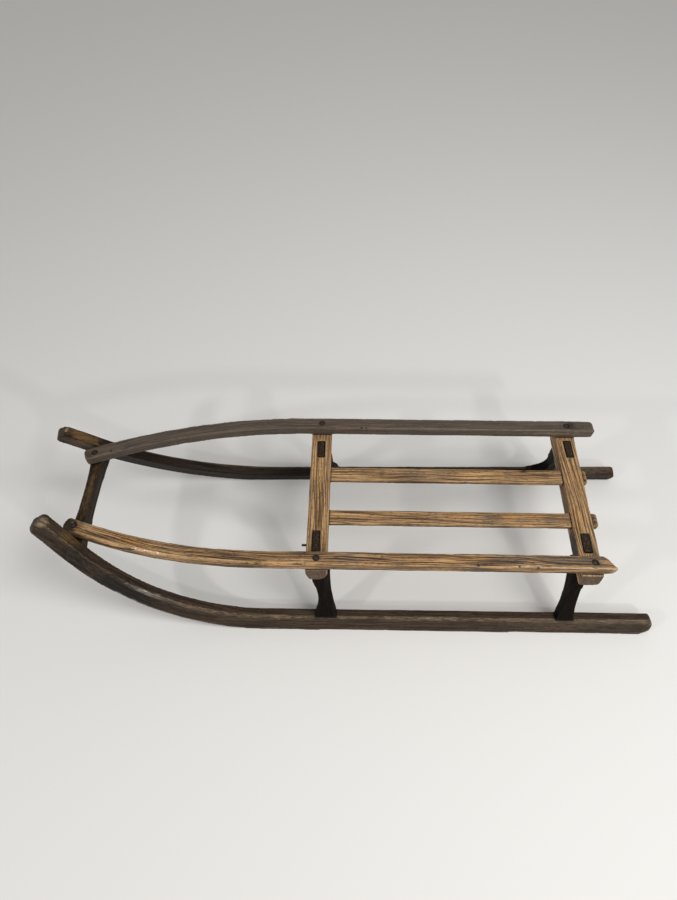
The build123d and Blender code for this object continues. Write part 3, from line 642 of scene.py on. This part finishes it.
# Each finish's last layer paints the joints near black, as dirt and as painted shade where the
# pieces meet.
finishes = {
    # Ring-porous ash, sawn and then polished by sitting and gripping: honey, dark open pores.
    "rail_rubbed": Finish("#785C40", [
        Layer("drift", 0.50, 0.64, 0.55, None, "#8C6934"),
        Layer("golden", 0.10, 1.00, 0.95, None, "#A77739"),
        Layer("lines", 0.47, 0.39, 0.85, None, "#BB9261"),
        Layer("blotch", 0.52, 0.68, 0.45, None, "#5F5243"),
        Layer("grey", 0.05, 0.90, 0.80, None, "#5E5347"),
        Layer("lines", 0.49, 0.57, 0.95, None, "#38281D"),
        Layer("hairs", 0.55, 0.64, 0.55, None, "#33251A"),
        Layer("hairs", 0.43, 0.36, 0.35, None, "#CEA778"),
        Layer("rubbed", 0.15, 0.80, 0.60, None, "#BF9B6C"),
        Layer("light", 0.05, 0.90, 0.85, None, "#DABE96"),
        Layer("pores", 0.58, 0.66, 0.75, None, "#291D15"),
        Layer("ending", 0.20, 0.90, 0.75, None, "#554331"),
        Layer("dark", 0.05, 0.90, 0.95, None, "#241811"),
        Layer("joint_dirt_and_shade", 0.60, 1.00, 0.90, None, "#130E0A"),
    ], 0.50, 0.30, 0.26, 0.5),
    # The same ash left to weather: dull grey-brown, smooth, paler on its rubbed edge.
    "rail_greyed": Finish("#4F453C", [
        Layer("drift", 0.48, 0.64, 0.50, None, "#594C3E"),
        Layer("golden", 0.10, 1.00, 0.90, None, "#785C3A"),
        Layer("lines", 0.47, 0.39, 0.40, None, "#64594D"),
        Layer("blotch", 0.50, 0.66, 0.45, None, "#413933"),
        Layer("lines", 0.50, 0.60, 0.55, None, "#372E29"),
        Layer("hairs", 0.55, 0.66, 0.45, None, "#312924"),
        Layer("hairs", 0.43, 0.35, 0.30, None, "#6F6152"),
        Layer("specks", 0.60, 0.70, 0.35, None, "#6D5F51"),
        Layer("rubbed", 0.10, 0.80, 0.45, None, "#76634E"),
        Layer("light", 0.05, 0.90, 0.90, None, "#AE9A7E"),
        Layer("pores", 0.58, 0.68, 0.60, None, "#28201C"),
        Layer("ending", 0.20, 0.90, 0.60, None, "#493E33"),
        Layer("dark", 0.05, 0.90, 0.95, None, "#1D1713"),
        Layer("joint_dirt_and_shade", 0.60, 1.00, 0.90, None, "#100C0A"),
    ], 0.58, 0.36, 0.25, 0.4),
    # Ash planed flat and trodden on: tan, with broken dark lines of open pores.
    "deck": Finish("#8B6C4A", [
        Layer("drift", 0.50, 0.64, 0.55, None, "#A0773E"),
        Layer("golden", 0.10, 1.00, 0.90, None, "#AF7F40"),
        Layer("lines", 0.47, 0.39, 0.80, None, "#C39B6B"),
        Layer("blotch", 0.54, 0.68, 0.45, None, "#675A49"),
        Layer("grey", 0.05, 0.90, 0.80, None, "#6C5F51"),
        Layer("lines", 0.50, 0.57, 0.92, None, "#493420"),
        Layer("hairs", 0.55, 0.64, 0.50, None, "#402D1C"),
        Layer("hairs", 0.43, 0.36, 0.35, None, "#C7A173"),
        Layer("rubbed", 0.15, 0.80, 0.45, None, "#B29062"),
        Layer("light", 0.05, 0.90, 0.85, None, "#BFA178"),
        Layer("pores", 0.58, 0.66, 0.70, None, "#302318"),
        Layer("ending", 0.20, 0.90, 0.90, None, "#413020"),
        Layer("specks", 0.50, 0.62, 0.60, "ending", "#856D51"),
        Layer("dark", 0.05, 0.90, 0.95, None, "#16100C"),
        Layer("joint_dirt_and_shade", 0.60, 1.00, 0.90, None, "#100C0A"),
    ], 0.56, 0.36, 0.28, 0.5),
    # Hewn ash darkened by water and tallow: dark brown, tan along its rubbed ridge, painted shade
    # along its inner edges, and a pale line with a painted highlight on its polished arris.
    "runner_near": Finish("#39291E", [
        Layer("drift", 0.48, 0.64, 0.50, None, "#473726"),
        Layer("blotch", 0.50, 0.66, 0.55, None, "#271E17"),
        Layer("golden", 0.10, 1.00, 0.85, None, "#6A5028"),
        Layer("lines", 0.47, 0.38, 0.40, None, "#564635"),
        Layer("lines", 0.50, 0.59, 0.75, None, "#201811"),
        Layer("hairs", 0.43, 0.34, 0.40, None, "#5D4D3B"),
        Layer("rubbed", 0.05, 1.00, 0.50, None, "#6A5B48"),
        Layer("fibre", 0.46, 0.60, 0.75, "rubbed", "#8B7A60"),
        Layer("hairs", 0.50, 0.60, 0.65, "rubbed", "#30261C"),
        Layer("grey", 0.05, 0.90, 0.80, None, "#383027"),
        Layer("light", 0.05, 0.90, 0.85, None, "#8E7C62"),
        Layer("specks", 0.66, 0.72, 0.55, None, "#8A7C67"),
        # Painted shade along the inner edges
        Layer("edge", 0.35, 0.90, 0.80, None, "#100B07"),
        Layer("pores", 0.57, 0.67, 0.75, None, "#150E0A"),
        Layer("ending", 0.20, 0.90, 0.55, None, "#46392A"),
        Layer("dark", 0.05, 0.90, 0.92, None, "#130D08"),
        # Pale worn wood with a painted highlight along the polished arris
        Layer("polished", 0.15, 0.90, 0.70, "fibre", "#A89A84"),
        Layer("joint_dirt_and_shade", 0.60, 1.00, 0.90, None, "#0A0604"),
    ], 0.50, 0.34, 0.16, 0.6),
    # The far runner is the same timber painted darker: dirt, and painted shade for its place
    # under the deck; only its horn is gripped bright.
    "runner_far_dirty_and_shaded": Finish("#261B14", [
        Layer("drift", 0.48, 0.64, 0.50, None, "#30251B"),
        Layer("blotch", 0.50, 0.66, 0.55, None, "#150F0B"),
        Layer("golden", 0.10, 1.00, 0.90, None, "#755A38"),
        Layer("lines", 0.47, 0.38, 0.35, None, "#3B3024"),
        Layer("lines", 0.50, 0.59, 0.65, None, "#110C08"),
        Layer("hairs", 0.43, 0.34, 0.35, None, "#403428"),
        Layer("rubbed", 0.10, 0.70, 0.60, None, "#574836"),
        Layer("light", 0.05, 0.90, 0.85, None, "#917D62"),
        Layer("specks", 0.66, 0.72, 0.45, None, "#695C49"),
        # Painted shade along the inner edges
        Layer("edge", 0.35, 0.90, 0.85, None, "#070504"),
        Layer("pores", 0.57, 0.67, 0.70, None, "#0C0806"),
        Layer("ending", 0.20, 0.90, 0.60, None, "#463A2E"),
        Layer("dark", 0.05, 0.90, 0.92, None, "#0A0604"),
        Layer("joint_dirt_and_shade", 0.60, 1.00, 0.90, None, "#060402"),
    ], 0.52, 0.36, 0.10, 0.6),
    # Hewn crossbar: dark brown, a lighter streak where it is gripped.
    "crossbar": Finish("#241A11", [
        Layer("drift", 0.48, 0.64, 0.50, None, "#302418"),
        Layer("lines", 0.50, 0.59, 0.65, None, "#120C07"),
        Layer("hairs", 0.43, 0.34, 0.45, None, "#403326"),
        Layer("light", 0.05, 0.90, 0.80, None, "#624D35"),
        Layer("rubbed", 0.12, 0.80, 0.45, None, "#453728"),
        Layer("pores", 0.57, 0.67, 0.70, None, "#0C0705"),
        Layer("dark", 0.05, 0.90, 0.95, None, "#070504"),
        Layer("joint_dirt_and_shade", 0.60, 1.00, 0.90, None, "#060402"),
    ], 0.50, 0.36, 0.08, 0.6),
    # Hewn knee legs, nearly black with soot and damp; the tenons' sawn tops are grey end grain.
    "leg": Finish("#110D0A", [
        Layer("drift", 0.48, 0.64, 0.50, None, "#1B130E"),
        Layer("lines", 0.50, 0.59, 0.60, None, "#080605"),
        Layer("hairs", 0.43, 0.34, 0.55, None, "#30251B"),
        Layer("light", 0.05, 0.90, 0.80, None, "#4C3E2C"),
        Layer("rubbed", 0.12, 0.80, 0.45, None, "#33281D"),
        Layer("specks", 0.66, 0.72, 0.50, None, "#4A4034"),
        Layer("ending", 0.20, 0.90, 0.95, None, "#302820"),
        Layer("specks", 0.54, 0.64, 0.60, "ending", "#594E42"),
        Layer("pores", 0.56, 0.66, 0.70, None, "#060404"),
        Layer("dark", 0.05, 0.90, 0.90, None, "#050402"),
        Layer("joint_dirt_and_shade", 0.75, 1.00, 0.90, None, "#040202"),
    ], 0.55, 0.42, 0.03, 0.7),
    # Whittled peg's open end grain: dark with oil and dirt, black round its rim with dirt and
    # painted shade where it meets its hole.
    "peg": Finish("#372B21", [
        Layer("specks", 0.46, 0.62, 0.70, None, "#1C150F"),
        Layer("blotch", 0.50, 0.66, 0.50, None, "#473A2E"),
        Layer("joint_dirt_and_shade", 0.20, 0.95, 0.90, None, "#120E0B"),
    ], 0.62, 0.50, 0.25, 0.5),
}


def wood(name, finish):
    """Old timber whose grain follows the piece, in layers from its body colour to its dirt."""
    m = new_material("old_" + name + "_timber")
    grain = add(m, "ShaderNodeAttribute", out="Vector", attribute_name="grain")
    sway = add(m, "ShaderNodeTexNoise", {"Vector": grain, "Scale": sway_rate, "Detail": 1},
               out="Color")
    shift = add(m, "ShaderNodeVectorMath", {0: sway, 1: (0.5, 0.5, 0.5)}, operation="SUBTRACT")
    bend = add(m, "ShaderNodeVectorMath", {0: shift, 1: (0, sway_reach, sway_reach)},
               operation="MULTIPLY")
    bent = add(m, "ShaderNodeVectorMath", {0: grain, 1: bend}, operation="ADD")
    needed = {"rubbed", "polished", "lines", "fibre", "pores"}
    needed |= {layer.follows for layer in finish.layers}
    needed |= {layer.within for layer in finish.layers}
    value = {}
    for mark in marks + ["rubbed", "edge", "joint_dirt_and_shade", "ending"]:
        if mark in needed:
            value[mark] = add(m, "ShaderNodeAttribute", out="Fac", attribute_name=mark)
    off_heart = add(m, "ShaderNodeVectorMath", {0: bent, 1: (0, 1, 1)}, operation="MULTIPLY")
    radius = add(m, "ShaderNodeVectorMath", {0: off_heart}, out="Value", operation="LENGTH")
    travel = add(m, "ShaderNodeSeparateXYZ", {0: bent}, out="X")
    round_heart = add(m, "ShaderNodeCombineXYZ", {"X": travel, "Y": radius})
    for row in patterns:
        if row.name not in needed:
            continue
        sizes = (1 / (row.length * MM), 1 / (row.width * MM), 1 / (row.width * MM))
        place = round_heart if row.by_rings else bent
        drawn = add(m, "ShaderNodeVectorMath", {0: place, 1: sizes}, operation="MULTIPLY")
        value[row.name] = add(m, "ShaderNodeTexNoise", {
            "Vector": drawn, "Scale": 1, "Detail": row.detail, "Roughness": row.breakup})
    colour = linear(finish.body)
    for layer in finish.layers:
        amount = add(m, "ShaderNodeMapRange", {
            "Value": value[layer.follows], "From Min": layer.start, "From Max": layer.full,
            "To Max": layer.strength}, interpolation_type="SMOOTHSTEP")
        if layer.within:
            amount = add(m, "ShaderNodeMath", {0: amount, 1: value[layer.within]},
                         operation="MULTIPLY")
        colour = add(m, "ShaderNodeMix", {0: amount, 6: colour, 7: linear(layer.colour)},
                     out=2, data_type="RGBA")
    smooth = add(m, "ShaderNodeMath", {0: value["rubbed"], 1: value["polished"]},
                 operation="ADD", use_clamp=True)
    rough = add(m, "ShaderNodeMapRange", {
        "Value": smooth, "To Min": finish.rough, "To Max": finish.polish})
    worn = add(m, "ShaderNodeMath", {0: value["fibre"], 1: value["pores"]}, operation="SUBTRACT")
    relief = add(m, "ShaderNodeMath", {0: value["lines"], 1: line_share, 2: worn},
                 operation="MULTIPLY_ADD")
    bump = add(m, "ShaderNodeBump", {
        "Strength": finish.relief, "Distance": relief_depth, "Height": relief})
    shader = add(m, "ShaderNodeBsdfPrincipled", {
        "Base Color": colour, "Roughness": rough, "IOR": wood_ior,
        "Specular IOR Level": finish.gloss, "Coat Weight": value["polished"],
        "Coat Roughness": skin_roughness, "Coat IOR": wood_ior, "Normal": bump})
    add(m, "ShaderNodeOutputMaterial", {"Surface": shader})
    return m


# The rust's flakes and pits, and how far the flakes stand up
flake_size, pit_size, flake_depth = 2.0 * MM, 0.8 * MM, 0.6 * MM


def rusted_iron():
    """Hand-forged iron long out in the wet: rough brown rust, orange flakes, black pits."""
    m = new_material("rusted_iron")
    place = add(m, "ShaderNodeTexCoord", out="Object")
    flakes = add(m, "ShaderNodeTexNoise", {
        "Vector": place, "Scale": 1 / flake_size, "Detail": 4, "Roughness": 0.65})
    pits = add(m, "ShaderNodeTexNoise", {"Vector": place, "Scale": 1 / pit_size, "Detail": 2})
    colour = linear("#2B211C")
    rust = [(flakes, 0.50, 0.66, "#5A3A26"), (pits, 0.55, 0.68, "#120D0B")]
    for pattern, start, full, tint in rust:
        amount = add(m, "ShaderNodeMapRange", {
            "Value": pattern, "From Min": start, "From Max": full, "To Max": 0.85})
        colour = add(m, "ShaderNodeMix", {0: amount, 6: colour, 7: linear(tint)},
                     out=2, data_type="RGBA")
    bump = add(m, "ShaderNodeBump", {"Strength": 0.6, "Distance": flake_depth, "Height": flakes})
    shader = add(m, "ShaderNodeBsdfPrincipled", {
        "Base Color": colour, "Roughness": 0.82, "Metallic": 0.2, "Normal": bump})
    add(m, "ShaderNodeOutputMaterial", {"Surface": shader})
    return m


# The camera stands at a grown person's eye height beside the sled and looks down on it, level
# with a point a little behind the front beam's front face.
beam_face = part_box("beam_front")[1][0]
eye = Vector((beam_face - 88.8 * MM, 738.9 * MM, 1379.2 * MM))
pitch, yaw, roll = math.radians(54.13), math.radians(-2.196), math.radians(-1.056)
photo_height, focal_length = 900, 690.24
forward = Vector((-math.sin(yaw) * math.cos(pitch), -math.cos(yaw) * math.cos(pitch),
                  -math.sin(pitch)))
level = forward.cross(Vector((0, 0, 1))).normalized()
above = level.cross(forward)
right = math.cos(roll) * level + math.sin(roll) * above
top = -math.sin(roll) * level + math.cos(roll) * above
camera = bpy.data.objects.new("camera", bpy.data.cameras.new("camera"))
bpy.context.scene.collection.objects.link(camera)
turned = Matrix((right, top, -forward)).transposed().to_4x4()
camera.matrix_world = Matrix.Translation(eye) @ turned
camera.data.sensor_width = 36
camera.data.lens = focal_length / photo_height * camera.data.sensor_width
bpy.context.scene.camera = camera

# Making: first the finishes, then the timbers, the pegs and the one nail
peg_middles = []
for name in nodes:
    if name.startswith("peg_"):
        low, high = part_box(name)
        peg_middles.append(Vector(((low[0] + high[0]) / 2, (low[1] + high[1]) / 2)))
materials = {name: wood(name, finish) for name, finish in finishes.items()}
for number, row in enumerate(timbers):
    make_timber(row, number + 1)
for number, name in enumerate(sorted(nodes)):
    if name.startswith("peg_"):
        make_peg(name, number + first_peg_seed)
iron = rusted_iron()
for name, node in nodes.items():
    if not node.hide_render:
        node.data.materials.clear()
        node.data.materials.append(iron)

# Plain pale floor, which doesn't hide the sled from below
floor_reach = 12
floor_mesh = bpy.data.meshes.new("floor")
bm = bmesh.new()
bmesh.ops.create_grid(bm, x_segments=1, y_segments=1, size=floor_reach)
bm.to_mesh(floor_mesh)
bm.free()
floor = bpy.data.objects.new("floor", floor_mesh)
bpy.context.scene.collection.objects.link(floor)
floor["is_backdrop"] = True
floor_paint = new_material("pale_matt_floor")
plain = add(floor_paint, "ShaderNodeBsdfDiffuse", {"Color": linear("#DEDCD8")})
clear = add(floor_paint, "ShaderNodeBsdfTransparent")
below = add(floor_paint, "ShaderNodeNewGeometry", out="Backfacing")
seen = add(floor_paint, "ShaderNodeMixShader", {0: below, 1: plain, 2: clear})
add(floor_paint, "ShaderNodeOutputMaterial", {"Surface": seen})
floor.data.materials.append(floor_paint)

# Soft even daylight, strongest from above and from the camera's right. The backdrop is paler
# than the light that it gives.
daylight, backdrop = 0.45, 0.85
world = bpy.data.worlds.new("studio")
world.use_nodes = True
world.node_tree.nodes.clear()
camera_ray = add(world, "ShaderNodeLightPath", out="Is Camera Ray")
strength = add(world, "ShaderNodeMapRange", {
    "Value": camera_ray, "To Min": daylight, "To Max": backdrop})
sky = add(world, "ShaderNodeBackground", {"Color": (1, 1, 1, 1), "Strength": strength})
add(world, "ShaderNodeOutputWorld", {"Surface": sky})
bpy.context.scene.world = world

# Each row is one soft round lamp: where it stands, how wide it is and its power in watts. The
# two small ones make the polished edges shine. All of them face the sled's middle.
Lamp = namedtuple("Lamp", "name place size watts")
lamps = [
    Lamp("overhead_lamp", (-1.1, 0.7, 2.3), 1.3, 36),
    Lamp("side_lamp", (-1.12, 1.75, 1.52), 0.16, 10),
    Lamp("front_lamp", (1.58, 1.30, 1.52), 0.16, 9),
]
sled_middle = (0, 0, 0.1)
for row in lamps:
    lamp = bpy.data.lights.new(row.name, "AREA")
    lamp.shape, lamp.size, lamp.energy = "DISK", row.size, row.watts
    holder = bpy.data.objects.new(row.name, lamp)
    bpy.context.scene.collection.objects.link(holder)
    holder.location = row.place
    toward = Vector(sled_middle) - Vector(row.place)
    holder.rotation_euler = toward.to_track_quat("-Z", "Y").to_euler()

bpy.context.scene.view_settings.view_transform = "Standard"

low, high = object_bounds()
